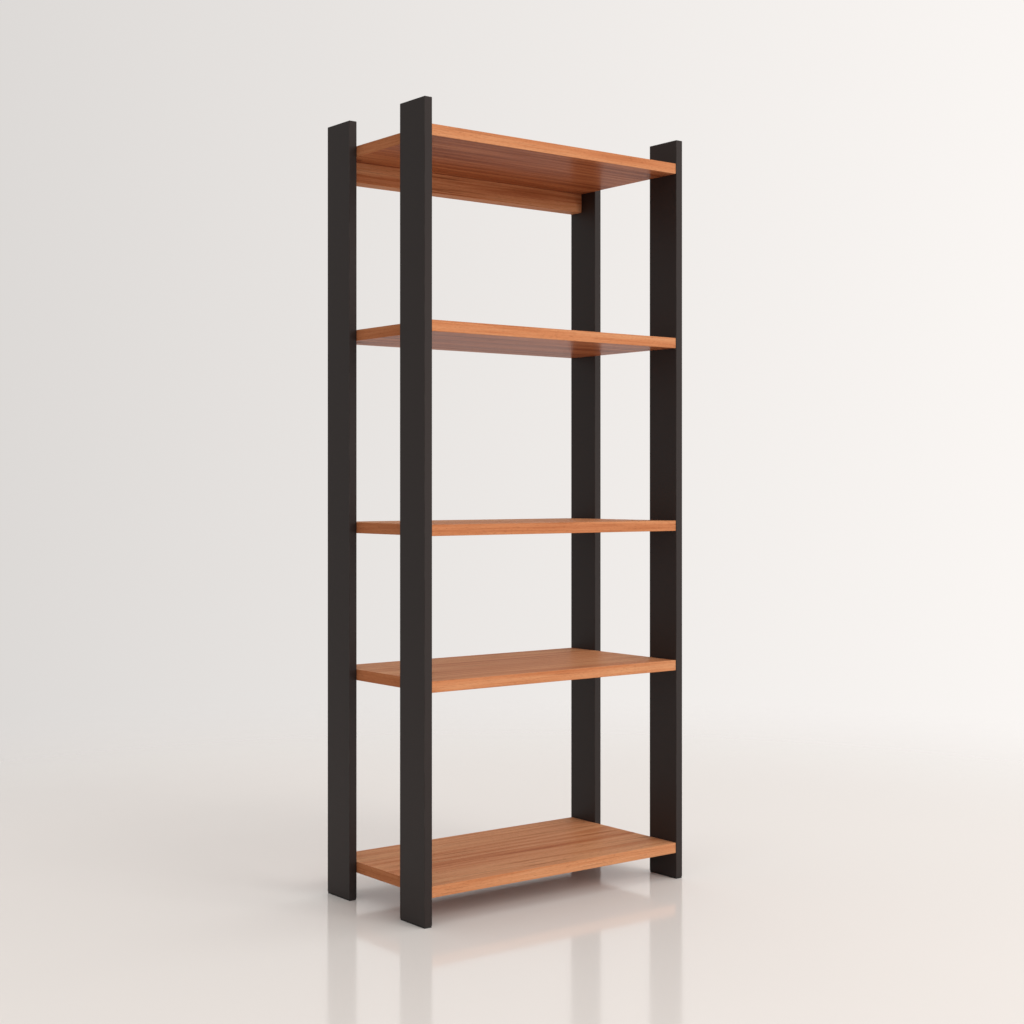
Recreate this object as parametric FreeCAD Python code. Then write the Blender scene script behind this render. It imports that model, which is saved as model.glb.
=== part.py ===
import FreeCAD, Part
import math
import os

from FreeCAD import Vector

# Open bookcase: four plank uprights carry five fixed shelves, and a rail braces the top bay.
# Millimetres: X runs along the shelves, Y from front to back, Z up.
# The origin is on the floor, under the middle of the bookcase.

# Uprights
WIDTH = 765.0              # across the outer faces of the uprights
DEPTH = 400.0              # front edge of a front upright to rear edge of a rear upright
UPRIGHT_WIDTH = 96.0       # of one plank, along Y
UPRIGHT_THICKNESS = 20.0   # of one plank, along X
TOP_OVERHANG = 57.0        # how far the uprights stand above the top shelf

# Shelves, from the floor up
SHELF_THICKNESS = 25.0
FRONT_SETBACK = 2.0        # shelf edge behind the front edges of the uprights
REAR_SETBACK = 2.0         # shelf edge in front of the rear edges of the uprights
FLOOR_GAP = 63.0           # floor to the underside of the bottom shelf
LOWEST_BAY = 420.0         # clear heights between the shelves
LOWER_BAY = 315.0
UPPER_BAY = 420.0
TOP_BAY = 400.0

# Back rail, a stout batten under the top shelf and level with its rear edge
RAIL_HEIGHT = 48.0
RAIL_THICKNESS = 40.0

# Edges that a hand can reach are eased by a small flat
UPRIGHT_EASE = 0.8
BOARD_EASE = 0.8

# Foot pads, one stuck under each upright
PAD_THICKNESS = 4.0
PAD_MARGIN = 1.0           # the upright stands over its pad by this much

# Connector: a bolt in the upright, and a round housing in the board that turns to draw in its head
BOLT_DIAMETER = 6.0
BOLT_NECK_DIAMETER = 3.5   # behind the head
BOLT_HEAD_THICKNESS = 3.0
HOUSING_DIAMETER = 20.0
HOUSING_INSET = 24.0       # end of the board to the middle of the housing
HOUSING_WALL = 3.0         # round the cavity for the bolt head
HOUSING_THROW = 1.0        # the cavity lies this far off the middle, which makes a cam of the wall
HOUSING_ROOF = 2.5         # above the cavity

# Dowel beside each connector
DOWEL_DIAMETER = 8.0
DOWEL_IN_BOARD = 20.0      # length of the dowel that lies in the board

# Where the fixings sit
FIXING_SPACING = 32.0      # bolt to dowel, along the joint of a shelf and an upright
RAIL_FIXING_INSET = 13.0   # bolt and dowel from the underside and top of the rail
RAIL_BOLT_DEPTH = 12.5     # bolt from the rear face of the rail
BLIND_WALL = 8.0           # left of the upright behind a drilled hole
FIT_CLEARANCE = 0.1        # all round a bolt, dowel or housing in its hole
END_CLEARANCE = 0.5        # between the end of a fixing and the bottom of its hole
ROUND_FLATS = 12           # fixings and their holes repeat, so their rounds have a few flats

# Places that follow from the sizes above
SHELF_NAMES = ("bottom", "lower", "middle", "upper", "top")
LEFT, RIGHT = -1, 1
FRONT, REAR = -1, 1
PARALLEL = 1e-6            # radians, for picking edges that run along an axis

inner_x = WIDTH / 2 - UPRIGHT_THICKNESS
shelf_front_y = -DEPTH / 2 + FRONT_SETBACK
shelf_rear_y = DEPTH / 2 - REAR_SETBACK
upright_inner_y = DEPTH / 2 - UPRIGHT_WIDTH
upright_hole_depth = UPRIGHT_THICKNESS - BLIND_WALL

head_reach = BOLT_DIAMETER / 2 + FIT_CLEARANCE
neck_reach = BOLT_NECK_DIAMETER / 2 + FIT_CLEARANCE
housing_radius = HOUSING_DIAMETER / 2
housing_top = head_reach + HOUSING_ROOF
cavity_radius = housing_radius - HOUSING_WALL
cavity_middle = HOUSING_INSET + HOUSING_THROW
cavity_flat = cavity_radius * math.cos(math.pi / ROUND_FLATS)
bolt_shank_end = HOUSING_INSET - housing_radius - END_CLEARANCE
bolt_head_start = cavity_middle - math.sqrt(cavity_flat ** 2 - head_reach ** 2) + FIT_CLEARANCE

undersides = [FLOOR_GAP]
for bay in (LOWEST_BAY, LOWER_BAY, UPPER_BAY, TOP_BAY):
    undersides.append(undersides[-1] + SHELF_THICKNESS + bay)
upright_top = undersides[-1] + SHELF_THICKNESS + TOP_OVERHANG

rail_top = undersides[-1]
rail_bottom = rail_top - RAIL_HEIGHT
rail_front_y = shelf_rear_y - RAIL_THICKNESS


def prism(corners, direction):
    """A solid with a flat polygon as its base."""
    outline = Part.makePolygon(corners + corners[:1])
    return Part.Face(outline).extrude(direction)


def bar(diameter, side, y, z, in_upright, in_board):
    """A bar across the joint between an upright and the end of a board, or its hole."""
    start = Vector(side * (inner_x + in_upright), y, z)
    corners = []
    for flat in range(ROUND_FLATS):
        angle = 2 * math.pi * flat / ROUND_FLATS
        corners.append(start + Vector(0, math.cos(angle), math.sin(angle)) * (diameter / 2))
    return prism(corners, Vector(-side * (in_upright + in_board), 0, 0))


class Connector:
    """A bolt in the inner face of an upright, and the housing in the board that holds its head.

    The housing is let into the board along `drill`, from a face that lies `depth` from the bolt.
    """

    def __init__(self, side, y, z, drill, depth):
        self.side = side
        self.y = y
        self.z = z
        self.drill = drill
        self.depth = depth
        self.inward = Vector(-side, 0, 0)
        self.across = drill.cross(self.inward)

    def at(self, inward, across, up):
        """A point measured from where the bolt leaves the upright."""
        face = Vector(self.side * inner_x, self.y, self.z)
        return face + self.inward * inward + self.across * across + self.drill * up

    def bar(self, diameter, in_upright, in_board):
        return bar(diameter, self.side, self.y, self.z, in_upright, in_board)

    def bolt(self):
        """A shank that is screwed into the upright, a neck and a head as wide as the shank."""
        shank = self.bar(BOLT_DIAMETER, upright_hole_depth - END_CLEARANCE, bolt_shank_end)
        neck = self.bar(BOLT_NECK_DIAMETER, -bolt_shank_end, bolt_head_start)
        head = self.bar(BOLT_DIAMETER, -bolt_head_start, bolt_head_start + BOLT_HEAD_THICKNESS)
        return shank.fuse([neck, head])

    def bolt_hole(self):
        """From the bottom of the hole in the upright to the middle of the housing."""
        return self.bar(BOLT_DIAMETER + 2 * FIT_CLEARANCE, upright_hole_depth, HOUSING_INSET)

    def drum(self, radius, middle, low, high):
        """A round that stands across the bolt, with one of its flats facing it."""
        corners = []
        for flat in range(ROUND_FLATS):
            angle = 2 * math.pi * (flat + 1 / 2) / ROUND_FLATS
            corners.append(self.at(middle + radius * math.cos(angle), radius * math.sin(angle), low))
        return prism(corners, self.drill * (high - low))

    def block(self, inward, across, up):
        """A box between two distances in each direction."""
        near, far = inward
        left, right = across
        low, high = up
        base = ((near, left), (far, left), (far, right), (near, right))
        return prism([self.at(*corner, low) for corner in base], self.drill * (high - low))

    def housing(self):
        """A drum with a cavity for the head of the bolt, turned until its wall has drawn the head in.

        The head went in at a window, now away from the bolt, and the neck ran along a slot that leads
        half round the drum.
        """
        past_drum = HOUSING_INSET + HOUSING_DIAMETER
        head_span = (-head_reach, head_reach)
        neck_span = (-neck_reach, neck_reach)
        body = self.drum(housing_radius, HOUSING_INSET, -self.depth, housing_top)
        cavity = self.drum(cavity_radius, cavity_middle, *head_span)
        slot = self.block((0, past_drum), (-neck_reach, HOUSING_DIAMETER), neck_span)
        window = self.block((cavity_middle, past_drum), head_span, head_span)
        return body.cut([cavity, slot, window])

    def housing_hole(self):
        radius = housing_radius + FIT_CLEARANCE
        return self.drum(radius, HOUSING_INSET, -self.depth, housing_top + END_CLEARANCE)


class Dowel:
    """A wood dowel between an upright and the end of a board."""

    def __init__(self, side, y, z):
        self.side = side
        self.y = y
        self.z = z

    def pin(self):
        in_upright = upright_hole_depth - END_CLEARANCE
        return bar(DOWEL_DIAMETER, self.side, self.y, self.z, in_upright, DOWEL_IN_BOARD)

    def hole(self):
        diameter = DOWEL_DIAMETER + 2 * FIT_CLEARANCE
        in_board = DOWEL_IN_BOARD + END_CLEARANCE
        return bar(diameter, self.side, self.y, self.z, upright_hole_depth, in_board)


class Joint:
    """What holds one corner of a board to its upright."""

    def __init__(self, side, end, connector, dowel):
        self.side = side
        self.end = end
        self.connector = connector
        self.dowel = dowel

    def upright_holes(self):
        return [self.connector.bolt_hole(), self.dowel.hole()]

    def board_holes(self):
        return [self.connector.housing_hole(), self.connector.bolt_hole(), self.dowel.hole()]


def shelf_joints(underside):
    """The four corners of a shelf: connectors nearer its middle, dowels nearer its edges."""
    z = underside + SHELF_THICKNESS / 2
    joints = []
    for end, edge_y in ((FRONT, shelf_front_y), (REAR, shelf_rear_y)):
        middle_y = (edge_y + end * upright_inner_y) / 2
        connector_y = middle_y - end * FIXING_SPACING / 2
        dowel_y = middle_y + end * FIXING_SPACING / 2
        for side in (LEFT, RIGHT):
            connector = Connector(side, connector_y, z, Vector(0, 0, 1), SHELF_THICKNESS / 2)
            joints.append(Joint(side, end, connector, Dowel(side, dowel_y, z)))
    return joints


def rail_joints():
    """The two ends of the back rail: connectors let into its rear face, dowels above them."""
    bolt_y = shelf_rear_y - RAIL_BOLT_DEPTH
    bolt_z = rail_bottom + RAIL_FIXING_INSET
    dowel_y = shelf_rear_y - RAIL_THICKNESS / 2
    dowel_z = rail_top - RAIL_FIXING_INSET
    joints = []
    for side in (LEFT, RIGHT):
        connector = Connector(side, bolt_y, bolt_z, Vector(0, -1, 0), RAIL_BOLT_DEPTH)
        joints.append(Joint(side, REAR, connector, Dowel(side, dowel_y, dowel_z)))
    return joints


def edges_along(shape, axis):
    """The straight edges of a box that run along an axis."""
    return [edge for edge in shape.Edges
            if edge.tangentAt(edge.FirstParameter).isParallel(axis, PARALLEL)]


def upright(side, end, joints):
    """A plank with eased upright edges and top, drilled for the boards that it carries."""
    low_x = min(side * inner_x, side * WIDTH / 2)
    low_y = min(end * upright_inner_y, end * DEPTH / 2)
    plank = Part.makeBox(
        UPRIGHT_THICKNESS, UPRIGHT_WIDTH, upright_top - PAD_THICKNESS, Vector(low_x, low_y, PAD_THICKNESS))
    eased = edges_along(plank, Vector(0, 0, 1))
    eased += [edge for edge in plank.Edges if edge.BoundBox.ZMin > PAD_THICKNESS + UPRIGHT_EASE]
    plank = plank.makeChamfer(UPRIGHT_EASE, eased)
    holes = []
    for joint in joints:
        if (joint.side, joint.end) == (side, end):
            holes += joint.upright_holes()
    return plank.cut(holes)


def foot_pad(side, end):
    """A flat strip of rubber under an upright."""
    low_x = min(side * inner_x, side * WIDTH / 2) + PAD_MARGIN
    low_y = min(end * upright_inner_y, end * DEPTH / 2) + PAD_MARGIN
    length_x = UPRIGHT_THICKNESS - 2 * PAD_MARGIN
    length_y = UPRIGHT_WIDTH - 2 * PAD_MARGIN
    return Part.makeBox(length_x, length_y, PAD_THICKNESS, Vector(low_x, low_y, 0))


def board(low_y, low_z, length_y, length_z, joints):
    """A board between the uprights, with its long edges eased and its ends drilled."""
    blank = Part.makeBox(2 * inner_x, length_y, length_z, Vector(-inner_x, low_y, low_z))
    blank = blank.makeChamfer(BOARD_EASE, edges_along(blank, Vector(1, 0, 0)))
    holes = []
    for joint in joints:
        holes += joint.board_holes()
    return blank.cut(holes)


def export(name, solids):
    """One file per node: a single solid, or a group of like solids."""
    shape = solids[0] if len(solids) == 1 else Part.makeCompound(solids)
    shape.exportStep("parts/" + name + ".step")


def export_fixings(name, joints):
    export("connector_bolts_" + name, [joint.connector.bolt() for joint in joints])
    export("connector_housings_" + name, [joint.connector.housing() for joint in joints])
    export("dowels_" + name, [joint.dowel.pin() for joint in joints])


def build():
    os.makedirs("parts", exist_ok=True)
    all_joints = []
    for name, underside in zip(SHELF_NAMES, undersides):
        joints = shelf_joints(underside)
        depth = shelf_rear_y - shelf_front_y
        export("shelf_" + name, [board(shelf_front_y, underside, depth, SHELF_THICKNESS, joints)])
        export_fixings(name, joints)
        all_joints += joints

    joints = rail_joints()
    export("back_rail", [board(rail_front_y, rail_bottom, RAIL_THICKNESS, RAIL_HEIGHT, joints)])
    export_fixings("rail", joints)
    all_joints += joints

    for end, end_name in ((FRONT, "front"), (REAR, "rear")):
        for side, side_name in ((LEFT, "left"), (RIGHT, "right")):
            place = end_name + "_" + side_name
            export("upright_" + place, [upright(side, end, all_joints)])
            export("foot_pad_" + place, [foot_pad(side, end)])


build()
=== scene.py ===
import math

import bmesh
import bpy
from mathutils import Matrix, Vector


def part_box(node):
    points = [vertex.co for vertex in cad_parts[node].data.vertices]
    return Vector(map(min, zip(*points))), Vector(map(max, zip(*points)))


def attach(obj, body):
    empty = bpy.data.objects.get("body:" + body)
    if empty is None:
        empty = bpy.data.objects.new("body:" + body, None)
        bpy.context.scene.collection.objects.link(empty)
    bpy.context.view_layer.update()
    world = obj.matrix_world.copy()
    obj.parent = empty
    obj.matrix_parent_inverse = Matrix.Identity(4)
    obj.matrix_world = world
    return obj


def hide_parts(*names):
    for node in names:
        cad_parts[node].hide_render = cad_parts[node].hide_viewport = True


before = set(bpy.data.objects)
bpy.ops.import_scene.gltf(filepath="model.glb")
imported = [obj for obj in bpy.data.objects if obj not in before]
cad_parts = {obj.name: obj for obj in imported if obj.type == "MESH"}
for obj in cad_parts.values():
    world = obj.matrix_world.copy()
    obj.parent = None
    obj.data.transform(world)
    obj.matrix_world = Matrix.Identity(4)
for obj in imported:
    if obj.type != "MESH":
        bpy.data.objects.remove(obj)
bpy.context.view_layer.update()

# Names and sides. Metres: X runs along the shelves, Y from front to back, Z up
SHELVES = ("bottom", "lower", "middle", "upper", "top")
BOARDS = SHELVES + ("rail",)
PLACES = ("front_left", "front_right", "rear_left", "rear_right")
X, Y, Z = 0, 1, 2
LEFT, RIGHT = -1, 1
INNER_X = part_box("back_rail")[1][X]      # inner faces of the uprights
SHELF_LOW, SHELF_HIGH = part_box("shelf_bottom")
BOLTS_LOW, BOLTS_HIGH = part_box("connector_bolts_bottom")
DOWELS_LOW, DOWELS_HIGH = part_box("dowels_bottom")

# Connector housing, a drum let into a board, which turns to draw in the head of a bolt
HOUSING_RADIUS = 0.0097                  # inside the flats of its seat
HOUSING_INSET = 0.024                    # end of the board to the middle of the drum
HOUSING_ROOF = 0.0025
CAVITY_RADIUS = 0.0067
CAVITY_MIDDLE = 0.025                    # off the middle of the drum, which makes a cam of its wall
ROUND_STEPS = 48
RIM_WIDTH = 0.0009
RIM_PROUD = 0.0004
RIM_ROUND = 0.00015
RIM_STEPS = 2
FACE_TO_BOLT = (SHELF_HIGH[Z] - SHELF_LOW[Z]) / 2      # drilled face of a board to the middle of a bolt

# Connector bolt
BOLT_RADIUS = (BOLTS_HIGH[Z] - BOLTS_LOW[Z]) / 2
BOLT_CORE_RADIUS = 0.0024                # under the thread
BOLT_NECK_RADIUS = 0.00175
BOLT_IN_UPRIGHT = BOLTS_HIGH[X] - INNER_X
BOLT_SHANK_END = 0.0135                  # these three from the face of the upright
BOLT_HEAD_START = 0.0191
BOLT_REACH = 0.0221
BOLT_BREAK = 0.0003                      # broken edges of the head and the tip
BOLT_FIT = 0.0001                        # clearance round the bolt in its housing
THREAD_ROOT_RADIUS = 0.002352            # a little inside the core
THREAD_PITCH = 0.0016
THREAD_TURNS = 6
TURN_STEPS = 24

# Cross recesses: reach and half width of an arm, and depth
HOUSING_CROSS = (0.0038, 0.0008, 0.0024)
BOLT_CROSS = (0.0019, 0.0004, 0.0018)

# Dowel
DOWEL_RADIUS = (DOWELS_HIGH[Z] - DOWELS_LOW[Z]) / 2
DOWEL_IN_BOARD = 0.020
DOWEL_IN_UPRIGHT = DOWELS_HIGH[X] - INNER_X
DOWEL_LEAD = 0.0012                      # taper at each end
DOWEL_TIP = 0.82                         # size of the tip beside the full round
FLUTES = 12
FLUTE_STEPS = 3                          # one of them in the groove
FLUTE_DEPTH = 0.0003

# Limits
SHARP = math.radians(35)                 # edges that turn more than this stay crisp
WELD = 1e-6                              # points closer than this become one
EDGE_FACING = 0.7                        # an edge or end of a board looks more than this along its axis
EASE_FACING = 0.9                        # an eased edge looks less than this along every axis

# The photograph's view: a level camera, turned to the right, in front of the left uprights
CAMERA_PLACE = (-2.4170, -3.1337, 0.9535)
CAMERA_TURN = math.radians(37.77)
CAMERA_LEVEL = math.radians(90)          # from straight down up to the horizon
LENS_MM = 58.04
SENSOR_MM = 36.0
HORIZON_SHIFT = -0.0239

# Studio
FLOOR_HALF = 6.0
FLOOR_FADE = (1.3, 3.6)                  # the floor fades out between these distances from the middle
BACKDROP_COLOUR = (1.0, 0.965, 0.938)
BACKDROP_STRENGTH = 0.84
BACKDROP_LEAN = 0.40                     # more light on the right of the view, less on the left
SHADE_BELOW = 0.45                       # taken off the light from below
SHADE_LEVELS = (-0.20, -0.75)            # how far down it begins and is full
KEY_PLACE = (1.6, -7.6, 4.6)
KEY_TARGET = (0, 0, 0.9)
KEY_SIZE = 4.4
KEY_WATTS = 290
KEY_COLOUR = (1.0, 0.955, 0.91)

# Sockets of a Mix node for colours
MIX_MASK, MIX_UNDER, MIX_OVER, MIX_RESULT = 0, 6, 7, 2


class Signal:
    """A value, colour or vector in a material, with arithmetic that adds Math nodes."""

    def __init__(self, finish, socket):
        self.finish = finish
        self.socket = socket

    def __add__(self, other):
        return self.finish.math("ADD", self, other)

    def __sub__(self, other):
        return self.finish.math("SUBTRACT", self, other)

    def __rsub__(self, other):
        return self.finish.math("SUBTRACT", other, self)

    def __mul__(self, other):
        return self.finish.math("MULTIPLY", self, other)

    def __gt__(self, other):
        return self.finish.math("GREATER_THAN", self, other)

    def __lt__(self, other):
        return self.finish.math("LESS_THAN", self, other)

    def __abs__(self):
        return self.finish.math("ABSOLUTE", self)

    __radd__ = __add__
    __rmul__ = __mul__


class Finish:
    """The node tree of a new material or world."""

    def __init__(self, owner):
        self.owner = owner
        owner.use_nodes = True
        self.tree = owner.node_tree
        self.tree.nodes.clear()

    def node(self, kind, settings, sockets, *outputs):
        """Adds a node: first its settings, then the values or links of its sockets."""
        made = self.tree.nodes.new(kind)
        for name, value in settings.items():
            if name == "stops":
                self.set_stops(made.color_ramp, value)
            else:
                setattr(made, name, value)
        for name, value in sockets.items():
            if isinstance(value, Signal):
                self.tree.links.new(value.socket, made.inputs[name])
            else:
                made.inputs[name].default_value = value
        signals = [Signal(self, made.outputs[output]) for output in outputs]
        return signals[0] if len(signals) == 1 else signals

    def set_stops(self, ramp, stops):
        while len(ramp.elements) < len(stops):
            ramp.elements.new(1.0)
        for element, (position, colour) in zip(ramp.elements, stops):
            element.position = position
            element.color = (*colour, 1.0)

    def math(self, operation, *values):
        return self.node("ShaderNodeMath", {"operation": operation}, dict(enumerate(values)), "Value")

    def largest(self, first, *others):
        for other in others:
            first = self.math("MAXIMUM", first, other)
        return first

    def smooth(self, value, low, high):
        """0 at low, 1 at high, and an even step between."""
        settings = {"interpolation_type": "SMOOTHSTEP"}
        sockets = {"Value": value, "From Min": low, "From Max": high}
        return self.node("ShaderNodeMapRange", settings, sockets, "Result")

    def point(self):
        """The point on the piece, in metres."""
        return self.node("ShaderNodeTexCoord", {}, {}, "Object")

    def split(self, vector):
        return self.node("ShaderNodeSeparateXYZ", {}, {"Vector": vector}, X, Y, Z)

    def facing(self):
        """The direction that the surface faces, as three values."""
        return self.split(self.node("ShaderNodeNewGeometry", {}, {}, "Normal"))

    def vector(self, x, y, z):
        return self.node("ShaderNodeCombineXYZ", {}, {X: x, Y: y, Z: z}, "Vector")

    def pick(self, mask, low, high):
        """low where the mask is 0, high where it is 1."""
        return low + mask * (high - low)

    def noise(self, vector, scale, detail=2.0, roughness=0.5):
        sockets = {"Vector": vector, "Scale": scale, "Detail": detail, "Roughness": roughness}
        return self.node("ShaderNodeTexNoise", {}, sockets, 0)

    def ramp(self, value, stops):
        return self.node("ShaderNodeValToRGB", {"stops": stops}, {0: value}, "Color")

    def mix(self, mask, under, over):
        """One colour over another."""
        sockets = {MIX_MASK: mask, MIX_UNDER: under, MIX_OVER: (*over, 1.0)}
        return self.node("ShaderNodeMix", {"data_type": "RGBA"}, sockets, MIX_RESULT)

    def bump(self, height, depth):
        """A normal from a height, where 1 stands depth metres proud."""
        sockets = {"Height": height, "Distance": depth, "Strength": 1.0}
        return self.node("ShaderNodeBump", {}, sockets, "Normal")

    def shader(self, sockets):
        return self.node("ShaderNodeBsdfPrincipled", {}, sockets, "BSDF")

    def cover(self, shader):
        """Puts the shader on the surface, and gives back the finished material."""
        self.node("ShaderNodeOutputMaterial", {}, {"Surface": shader})
        return self.owner


# Finishes

def new_finish(name):
    return Finish(bpy.data.materials.new(name))


def board_veneer(name, edge_axis):
    """Satin veneer, straight grained along the board, with calmer bands of its own on edges and ends,
    painted light on the tops and painted shade on the undersides.
    """
    finish = new_finish(name)
    x, y, z = finish.split(finish.point())
    facing = finish.facing()
    on_edge = abs(facing[edge_axis]) > EDGE_FACING
    on_end = abs(facing[X]) > EDGE_FACING
    on_band = finish.largest(on_edge, on_end)
    top_painted_light = finish.largest(facing[Z], 0.0) * (1.0 - on_edge)              # painted light: upper faces made paler in colour
    underside_painted_shade_and_gloss = finish.largest(0.0 - facing[Z], 0.0) * (1.0 - on_edge)    # painted shade: undersides made darker in colour; they are also less rubbed, so glossier

    # Bands on edges and ends are cut from other stretches of the same grain
    along = finish.pick(on_end, x, y) + on_edge * 0.37 + on_end * 0.81
    across = finish.pick(on_end, y, x) + on_edge * 0.11
    through = z + on_end * 0.23

    def streaks(length, width, detail=2.0, roughness=0.5):
        """Noise drawn out along the grain, with the size of a streak in metres."""
        spread = 1.0 / width
        point = finish.vector(along * (1.0 / length), across * spread, through * spread)
        return finish.noise(point, 1.0, detail, roughness)

    sway = streaks(0.70, 0.16, detail=1.0) - 0.5
    across = across + sway * 0.030
    broad = streaks(1.60, 0.075)
    ribbons = streaks(0.70, 0.017, detail=3.0, roughness=0.60)
    lines = streaks(0.24, 0.0032, roughness=0.60)
    fibres = streaks(0.050, 0.0007, detail=1.0)
    tone = broad * 0.55 + ribbons * 0.80 + lines * 0.42 + fibres * 0.16 - 0.465
    # Painted light and shade: tops paler, undersides darker
    tone = tone + top_painted_light * 0.19 - underside_painted_shade_and_gloss * 0.14
    tone = finish.pick(on_edge, tone, tone * 0.7 + 0.255)
    tone = finish.pick(on_end, tone, tone * 0.5 + 0.225)
    colour = finish.ramp(tone, [
        (0.20, (0.200, 0.049, 0.016)),
        (0.40, (0.390, 0.123, 0.048)),
        (0.58, (0.522, 0.207, 0.092)),
        (0.78, (0.622, 0.307, 0.154))])

    late_wood = finish.smooth(streaks(0.20, 0.0036, detail=1.0), 0.57, 0.70)
    patches = finish.smooth(streaks(0.45, 0.040, detail=1.0), 0.36, 0.60)
    dark_lines = late_wood * patches * (1.0 - on_band * 0.6)
    colour = finish.mix(dark_lines * 0.52, colour, (0.150, 0.036, 0.012))
    pores = finish.smooth(streaks(0.011, 0.00042, detail=0.0), 0.64, 0.74)
    colour = finish.mix(pores * 0.42, colour, (0.100, 0.028, 0.012))
    relief = fibres * 0.35 - pores * 0.8 - dark_lines * 0.15
    return finish.cover(finish.shader({
        "Base Color": colour,
        "Roughness": dark_lines * 0.10 - underside_painted_shade_and_gloss * 0.17 - relief * 0.12 + 0.48,
        "Specular IOR Level": 0.012,
        "Normal": finish.bump(relief, 0.00005)}))


def upright_lacquer():
    """Matt black lacquer with a fine tooth, rubbed along its eased edges and scuffed at the floor."""
    finish = new_finish("upright_lacquer")
    point = finish.point()
    x, y, z = finish.split(point)
    on_ease = finish.largest(*[abs(value) for value in finish.facing()]) < EASE_FACING
    cloud = finish.noise(point, 3.0, detail=3.0)
    tooth = finish.noise(point, 1100.0, detail=1.0)
    rub = on_ease * finish.smooth(finish.noise(point, 24.0), 0.40, 0.68)
    flat_marks = finish.vector(x * 90.0, y * 90.0, z * 420.0)
    scuff_marks = finish.noise(flat_marks, 1.0, detail=3.0, roughness=0.65)
    near_floor = finish.smooth(z, 0.075, 0.010)
    scuff = finish.smooth(scuff_marks, 0.60, 0.74) * near_floor
    colour = finish.ramp(cloud, [(0.3, (0.0170, 0.0108, 0.0096)), (0.7, (0.0206, 0.0136, 0.0122))])
    colour = finish.mix(rub * 0.40, colour, (0.058, 0.050, 0.046))
    colour = finish.mix(scuff * 0.30, colour, (0.056, 0.050, 0.046))
    return finish.cover(finish.shader({
        "Base Color": colour,
        "Roughness": cloud * 0.12 + tooth * 0.06 + scuff * 0.12 + 0.40,
        "Specular IOR Level": 0.32,
        "Normal": finish.bump(tooth, 0.000025)}))


def pad_rubber():
    """Black rubber with a fine grain."""
    finish = new_finish("pad_rubber")
    grain = finish.noise(finish.point(), 900.0)
    return finish.cover(finish.shader({
        "Base Color": finish.ramp(grain, [(0.3, (0.012, 0.012, 0.012)), (0.7, (0.022, 0.021, 0.020))]),
        "Roughness": grain * 0.2 + 0.65,
        "Normal": finish.bump(grain, 0.00005)}))


def bolt_zinc():
    """Bright zinc plate, a little duller in patches."""
    finish = new_finish("bolt_zinc")
    point = finish.point()
    spangle = finish.noise(point, 700.0)
    dull = finish.smooth(finish.noise(point, 140.0), 0.45, 0.70)
    colour = finish.ramp(spangle, [(0.3, (0.52, 0.53, 0.55)), (0.7, (0.66, 0.66, 0.66))])
    return finish.cover(finish.shader({
        "Base Color": finish.mix(dull * 0.5, colour, (0.42, 0.42, 0.43)),
        "Metallic": 1.0,
        "Roughness": spangle * 0.15 + dull * 0.15 + 0.22}))


def housing_plastic():
    """Moulded plastic in the colour of the boards, with a fine spark finish."""
    finish = new_finish("housing_plastic")
    point = finish.point()
    spark = finish.noise(point, 2600.0, detail=1.0)
    flow = finish.noise(point, 120.0)
    return finish.cover(finish.shader({
        "Base Color": finish.ramp(flow, [(0.3, (0.275, 0.083, 0.030)), (0.7, (0.325, 0.101, 0.038))]),
        "Roughness": spark * 0.20 + 0.40,
        "Specular IOR Level": 0.20,
        "Normal": finish.bump(spark, 0.00003)}))


def dowel_beech():
    """Pale beech with the short dark flecks of its rays."""
    finish = new_finish("dowel_beech")
    x, y, z = finish.split(finish.point())
    fibres = finish.noise(finish.vector(x * 60.0, y * 1200.0, z * 1200.0), 1.0)
    rays = finish.noise(finish.vector(x * 700.0, y * 6000.0, z * 6000.0), 1.0, detail=0.0)
    flecks = finish.smooth(rays, 0.62, 0.74)
    colour = finish.ramp(fibres, [(0.3, (0.46, 0.29, 0.16)), (0.7, (0.62, 0.43, 0.26))])
    return finish.cover(finish.shader({
        "Base Color": finish.mix(flecks * 0.4, colour, (0.27, 0.14, 0.07)),
        "Roughness": fibres * 0.15 + 0.60,
        "Normal": finish.bump(fibres, 0.00006)}))


# Fixings

def moved(shape, made, step):
    """Moves the points among newly made items."""
    verts = [item for item in made if isinstance(item, bmesh.types.BMVert)]
    bmesh.ops.translate(shape, vec=step, verts=verts)
    return verts


def raise_faces(shape, height):
    """Draws flat faces up into a closed block."""
    raised = bmesh.ops.extrude_face_region(shape, geom=shape.faces[:])["geom"]
    moved(shape, raised, (0, 0, height))
    bmesh.ops.recalc_face_normals(shape, faces=shape.faces[:])


def cross(reach, half_width):
    """The outline of a cross recess."""
    points = []
    for quarter in range(4):
        turn = Matrix.Rotation(quarter * math.pi / 2, 2)
        for corner in ((reach, -half_width), (reach, half_width), (half_width, half_width)):
            points.append(turn @ Vector(corner))
    return points


def sink(shape, rim_edges, mouth, step):
    """Closes a flat opening round a recess, given the points of its mouth and the way to its floor."""
    verts = [shape.verts.new(point) for point in mouth]
    mouth_edges = [shape.edges.new((start, end)) for start, end in zip(verts, verts[1:] + verts[:1])]
    bmesh.ops.triangle_fill(shape, use_beauty=True, edges=rim_edges + mouth_edges)
    sunk = bmesh.ops.extrude_edge_only(shape, edges=mouth_edges)["geom"]
    moved(shape, sunk, step)
    bmesh.ops.edgeloop_fill(shape, edges=[item for item in sunk if isinstance(item, bmesh.types.BMEdge)])
    bmesh.ops.recalc_face_normals(shape, faces=shape.faces[:])


def drum_layer(low, high):
    """A full round of the drum, from one level to another."""
    layer = bmesh.new()
    bmesh.ops.create_circle(
        layer, cap_ends=True, segments=ROUND_STEPS, radius=HOUSING_RADIUS,
        matrix=Matrix.Translation((HOUSING_INSET, 0, low)))
    raise_faces(layer, high - low)
    return layer


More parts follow.
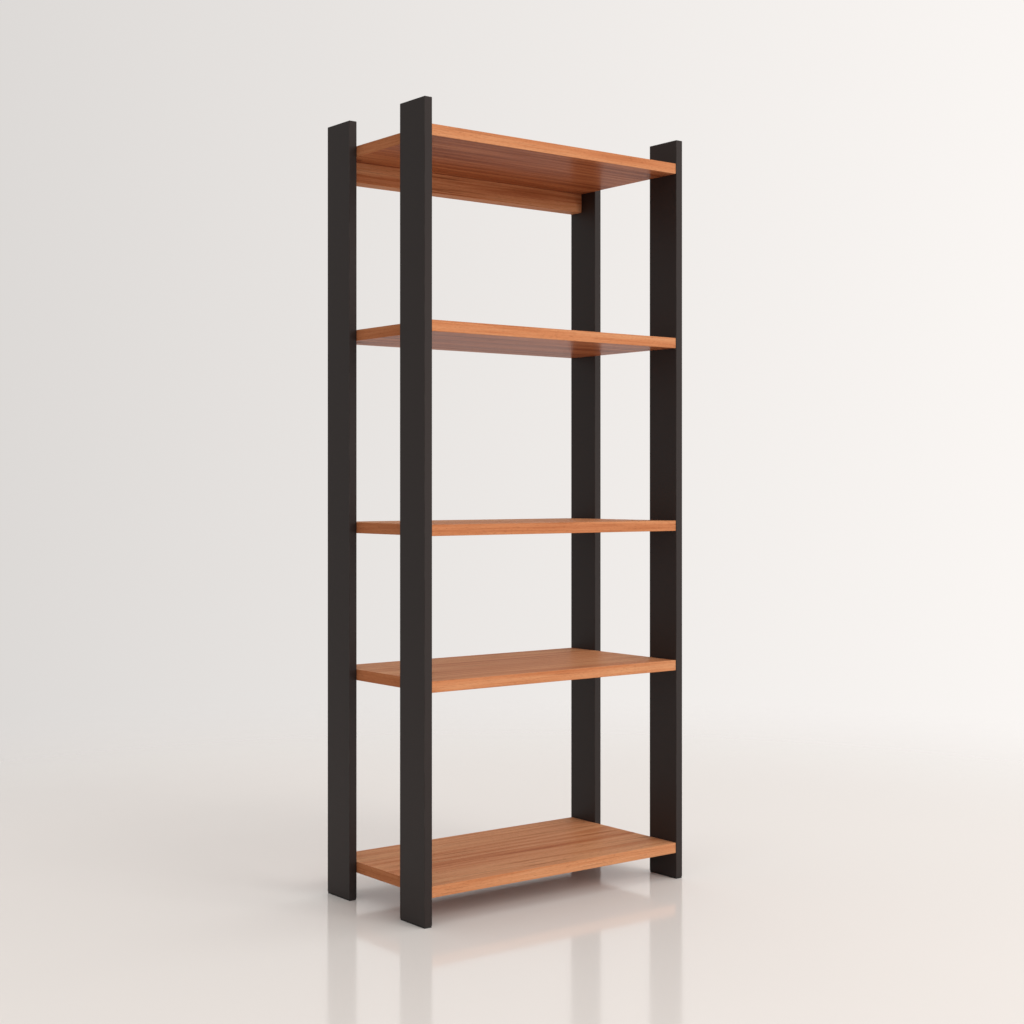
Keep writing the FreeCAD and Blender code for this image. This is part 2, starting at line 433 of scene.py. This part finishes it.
def cam_face():
    """The solid end of the drum, with a moulded rim and a cross recess on its open face."""
    drum_end = drum_layer(-FACE_TO_BOLT, -BOLT_RADIUS - BOLT_FIT)
    open_face = min(drum_end.faces, key=lambda face: face.calc_center_median().z)
    bmesh.ops.inset_region(drum_end, faces=[open_face], thickness=RIM_WIDTH)
    bmesh.ops.inset_region(drum_end, faces=[open_face], thickness=RIM_PROUD / 2, depth=-RIM_PROUD)
    floor_edges = open_face.edges[:]
    bmesh.ops.delete(drum_end, geom=[open_face], context="FACES_ONLY")
    reach, half_width, depth = HOUSING_CROSS
    floor = -FACE_TO_BOLT + RIM_PROUD
    mouth = [(HOUSING_INSET + x, y, floor) for x, y in cross(reach, half_width)]
    sink(drum_end, floor_edges, mouth, (0, 0, depth))
    rim_edges = [edge for edge in drum_end.edges
                 if all(vert.co.z < floor - RIM_PROUD / 2 for vert in edge.verts)
                 and edge.calc_face_angle(0) > SHARP]
    bmesh.ops.bevel(
        drum_end, geom=rim_edges, offset=RIM_ROUND, offset_type="OFFSET", segments=RIM_STEPS, profile=0.5,
        affect="EDGES", material=-1)
    return drum_end


def cam_wall(turn, half_width, low, high):
    """A stretch of the wall round the cavity, from one level to another.

    It starts beside an opening, given by its turn round the drum and half its width, and runs on to the
    window for the bolt head, which is at turn 0.
    """
    wall = bmesh.new()
    for middle, radius in ((HOUSING_INSET, HOUSING_RADIUS), (CAVITY_MIDDLE, CAVITY_RADIUS)):
        start = turn + math.asin(half_width / radius)
        end = 2 * math.pi - math.asin((BOLT_RADIUS + BOLT_FIT) / radius)
        first = wall.verts.new((middle + radius * math.cos(start), radius * math.sin(start), low))
        bmesh.ops.spin(
            wall, geom=[first], cent=(middle, 0, low), axis=(0, 0, 1), angle=end - start, steps=ROUND_STEPS)
    bmesh.ops.bridge_loops(wall, edges=wall.edges[:])
    raise_faces(wall, high - low)
    return wall


def cam_housing():
    """A drum in layers, with a slot for the neck of the bolt half round the middle one."""
    head = BOLT_RADIUS + BOLT_FIT
    neck = BOLT_NECK_RADIUS + BOLT_FIT
    return [
        cam_face(),
        cam_wall(0, head, -head, -neck),
        cam_wall(math.pi, neck, -neck, neck),
        cam_wall(0, head, neck, head),
        drum_layer(head, head + HOUSING_ROOF)]


def cam_bolt():
    """A bolt with a thread in the upright, a shank, a neck, and a head with a cross recess."""
    bolt = bmesh.new()
    profile = [
        (-BOLT_IN_UPRIGHT, 0), (-BOLT_IN_UPRIGHT, BOLT_CORE_RADIUS - BOLT_BREAK),
        (-BOLT_IN_UPRIGHT + BOLT_BREAK, BOLT_CORE_RADIUS), (0, BOLT_CORE_RADIUS), (0, BOLT_RADIUS),
        (BOLT_SHANK_END - BOLT_BREAK, BOLT_RADIUS), (BOLT_SHANK_END, BOLT_RADIUS - BOLT_BREAK),
        (BOLT_SHANK_END, BOLT_NECK_RADIUS), (BOLT_HEAD_START, BOLT_NECK_RADIUS),
        (BOLT_HEAD_START, BOLT_RADIUS - BOLT_BREAK), (BOLT_HEAD_START + BOLT_BREAK, BOLT_RADIUS),
        (BOLT_REACH - BOLT_BREAK, BOLT_RADIUS), (BOLT_REACH, BOLT_RADIUS - BOLT_BREAK)]
    points = [bolt.verts.new((along, radius, 0)) for along, radius in profile]
    for start, end in zip(points, points[1:]):
        bolt.edges.new((start, end))
    bmesh.ops.spin(
        bolt, geom=bolt.verts[:] + bolt.edges[:], cent=(0, 0, 0), axis=(1, 0, 0),
        angle=2 * math.pi, steps=TURN_STEPS, use_merge=True)
    bmesh.ops.remove_doubles(bolt, verts=bolt.verts[:], dist=WELD)
    head_edges = [edge for edge in bolt.edges if edge.is_boundary]
    reach, half_width, depth = BOLT_CROSS
    mouth = [(BOLT_REACH, y, z) for y, z in cross(reach, half_width)]
    sink(bolt, head_edges, mouth, (-depth, 0, 0))
    return [bolt, bolt_thread()]


def bolt_thread():
    """One ridge that climbs round the core of the bolt."""
    thread = bmesh.new()
    start = -THREAD_PITCH * (THREAD_TURNS + 1)
    crest = start + THREAD_PITCH / 4
    end = start + THREAD_PITCH / 2
    section = [(start, THREAD_ROOT_RADIUS), (crest, BOLT_RADIUS), (end, THREAD_ROOT_RADIUS)]
    face = thread.faces.new([thread.verts.new((along, radius, 0)) for along, radius in section])
    bmesh.ops.spin(
        thread, geom=[face], cent=(0, 0, 0), axis=(1, 0, 0), dvec=(THREAD_PITCH / TURN_STEPS, 0, 0),
        angle=2 * math.pi * THREAD_TURNS, steps=TURN_STEPS * THREAD_TURNS)
    bmesh.ops.recalc_face_normals(thread, faces=thread.faces[:])
    return thread


def fluted_dowel():
    """A dowel with grooves along it, tapered at both ends."""
    dowel = bmesh.new()
    stand = Matrix.Translation((-DOWEL_IN_UPRIGHT, 0, 0)) @ Matrix.Rotation(math.pi / 2, 4, "Y")
    ring = bmesh.ops.create_circle(
        dowel, cap_ends=True, segments=FLUTES * FLUTE_STEPS, radius=DOWEL_RADIUS, matrix=stand)["verts"]
    groove = 1 - FLUTE_DEPTH / DOWEL_RADIUS
    bmesh.ops.scale(dowel, vec=(1, groove, groove), verts=ring[::FLUTE_STEPS])
    bmesh.ops.scale(dowel, vec=(1, DOWEL_TIP, DOWEL_TIP), verts=ring)
    body = DOWEL_IN_UPRIGHT + DOWEL_IN_BOARD - 2 * DOWEL_LEAD
    end = dowel.faces[:] + dowel.edges[:]
    for step, growth in ((DOWEL_LEAD, 1 / DOWEL_TIP), (body, 1), (DOWEL_LEAD, DOWEL_TIP)):
        end = bmesh.ops.extrude_face_region(dowel, geom=end)["geom"]
        bmesh.ops.scale(dowel, vec=(1, growth, growth), verts=moved(dowel, end, (step, 0, 0)))
    bmesh.ops.recalc_face_normals(dowel, faces=dowel.faces[:])
    return [dowel]


def fixing_places(board, node, radius):
    """Where a board's bolts or dowels pass into the uprights, turned to look along the board."""
    low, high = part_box(node)
    if board in SHELVES:
        rows = (low[Y] + radius, high[Y] - radius)
        drill = Vector((0, 0, 1))        # housings go in from underneath
    else:
        rows = (low[Y] + radius,)
        drill = Vector((0, -1, 0))       # housings go in from behind
    places = []
    for y in rows:
        for side in (LEFT, RIGHT):
            inward = Vector((-side, 0, 0))
            place = Matrix((inward, drill.cross(inward), drill)).transposed().to_4x4()
            place.translation = (side * INNER_X, y, (low[Z] + high[Z]) / 2)
            places.append(place)
    return places


def fit_fixings(name, node, shapes, places, material):
    """The like fixings of one board as one piece, in place of their node."""
    mesh = bpy.data.meshes.new(name)
    gathered = bmesh.new()
    for place in places:
        for shape in shapes:
            copy = shape.copy()
            bmesh.ops.transform(copy, matrix=place, verts=copy.verts[:])
            copy.to_mesh(mesh)
            copy.free()
            gathered.from_mesh(mesh)
    for face in gathered.faces:
        face.smooth = True
    gathered.to_mesh(mesh)
    gathered.free()
    mesh.set_sharp_from_angle(angle=SHARP)
    mesh.materials.append(material)
    piece = bpy.data.objects.new(name, mesh)
    bpy.context.scene.collection.objects.link(piece)
    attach(piece, "root")
    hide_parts(node)


def add_fixings():
    """Bolts, housings and dowels at the ends of every board."""
    zinc = bolt_zinc()
    plastic = housing_plastic()
    beech = dowel_beech()
    bolt = cam_bolt()
    housing = cam_housing()
    dowel = fluted_dowel()
    for board in BOARDS:
        bolts = "connector_bolts_" + board
        dowels = "dowels_" + board
        bolt_places = fixing_places(board, bolts, BOLT_RADIUS)
        dowel_places = fixing_places(board, dowels, DOWEL_RADIUS)
        fit_fixings("cam_bolts_" + board, bolts, bolt, bolt_places, zinc)
        fit_fixings(
            "cam_housings_" + board, "connector_housings_" + board, housing, bolt_places,
            plastic)
        fit_fixings("fluted_dowels_" + board, dowels, dowel, dowel_places, beech)


# Boards, uprights and pads

def dress(node, material):
    """Gives a CAD node its finish."""
    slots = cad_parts[node].data.materials
    slots.clear()
    slots.append(material)


def dress_nodes():
    """Finishes for the nodes that are shown as they are."""
    shelf_wood = board_veneer("shelf_veneer", Y)
    lacquer = upright_lacquer()
    rubber = pad_rubber()
    for place in PLACES:
        dress("upright_" + place, lacquer)
        dress("foot_pad_" + place, rubber)
    for shelf in SHELVES:
        dress("shelf_" + shelf, shelf_wood)
    dress("back_rail", board_veneer("rail_veneer", Z))


# Studio

def studio_floor():
    """A pale polished floor that fades into the backdrop."""
    mesh = bpy.data.meshes.new("floor")
    sheet = bmesh.new()
    bmesh.ops.create_grid(sheet, x_segments=1, y_segments=1, size=FLOOR_HALF)
    sheet.to_mesh(mesh)
    sheet.free()
    floor = bpy.data.objects.new("floor", mesh)
    bpy.context.scene.collection.objects.link(floor)
    finish = new_finish("floor_polish")
    x, y, _ = finish.split(finish.point())
    distance = finish.math("SQRT", x * x + y * y)
    polish = finish.shader({
        "Base Color": (0.84, 0.81, 0.785, 1.0),
        "Roughness": 0.10,
        "Specular IOR Level": 0.22})
    clear = finish.node("ShaderNodeBsdfTransparent", {}, {}, "BSDF")
    sockets = {0: finish.smooth(distance, *FLOOR_FADE), 1: polish, 2: clear}
    mesh.materials.append(finish.cover(finish.node("ShaderNodeMixShader", {}, sockets, "Shader")))


def studio_world():
    """Even pale light from all round, a little stronger from the right of the view."""
    world = bpy.data.worlds.new("studio")
    bpy.context.scene.world = world
    finish = Finish(world)
    x, y, z = finish.split(finish.node("ShaderNodeTexCoord", {}, {}, "Generated"))
    rightward = x * math.cos(CAMERA_TURN) - y * math.sin(CAMERA_TURN)
    from_below = finish.smooth(z, *SHADE_LEVELS)
    strength = (rightward * BACKDROP_LEAN + BACKDROP_STRENGTH) * (1.0 - from_below * SHADE_BELOW)
    sockets = {"Color": (*BACKDROP_COLOUR, 1.0), "Strength": strength}
    light = finish.node("ShaderNodeBackground", {}, sockets, "Background")
    finish.node("ShaderNodeOutputWorld", {}, {"Surface": light})


def key_softbox():
    """A large square light in front of the bookcase, left out of reflections."""
    light = bpy.data.lights.new("key", "AREA")
    light.size = KEY_SIZE
    light.energy = KEY_WATTS
    light.color = KEY_COLOUR
    lamp = bpy.data.objects.new("key", light)
    bpy.context.scene.collection.objects.link(lamp)
    lamp.visible_glossy = False
    lamp.location = KEY_PLACE
    lamp.rotation_euler = (Vector(KEY_TARGET) - Vector(KEY_PLACE)).to_track_quat("-Z", "Y").to_euler()


def studio_camera():
    """The photograph's view."""
    data = bpy.data.cameras.new("photo_view")
    data.lens = LENS_MM
    data.sensor_width = SENSOR_MM
    data.shift_y = HORIZON_SHIFT
    camera = bpy.data.objects.new("photo_view", data)
    bpy.context.scene.collection.objects.link(camera)
    camera.location = CAMERA_PLACE
    camera.rotation_euler = (CAMERA_LEVEL, 0, -CAMERA_TURN)
    bpy.context.scene.camera = camera


dress_nodes()
add_fixings()
studio_floor()
studio_world()
key_softbox()
studio_camera()
bpy.context.scene.view_settings.view_transform = "Standard"
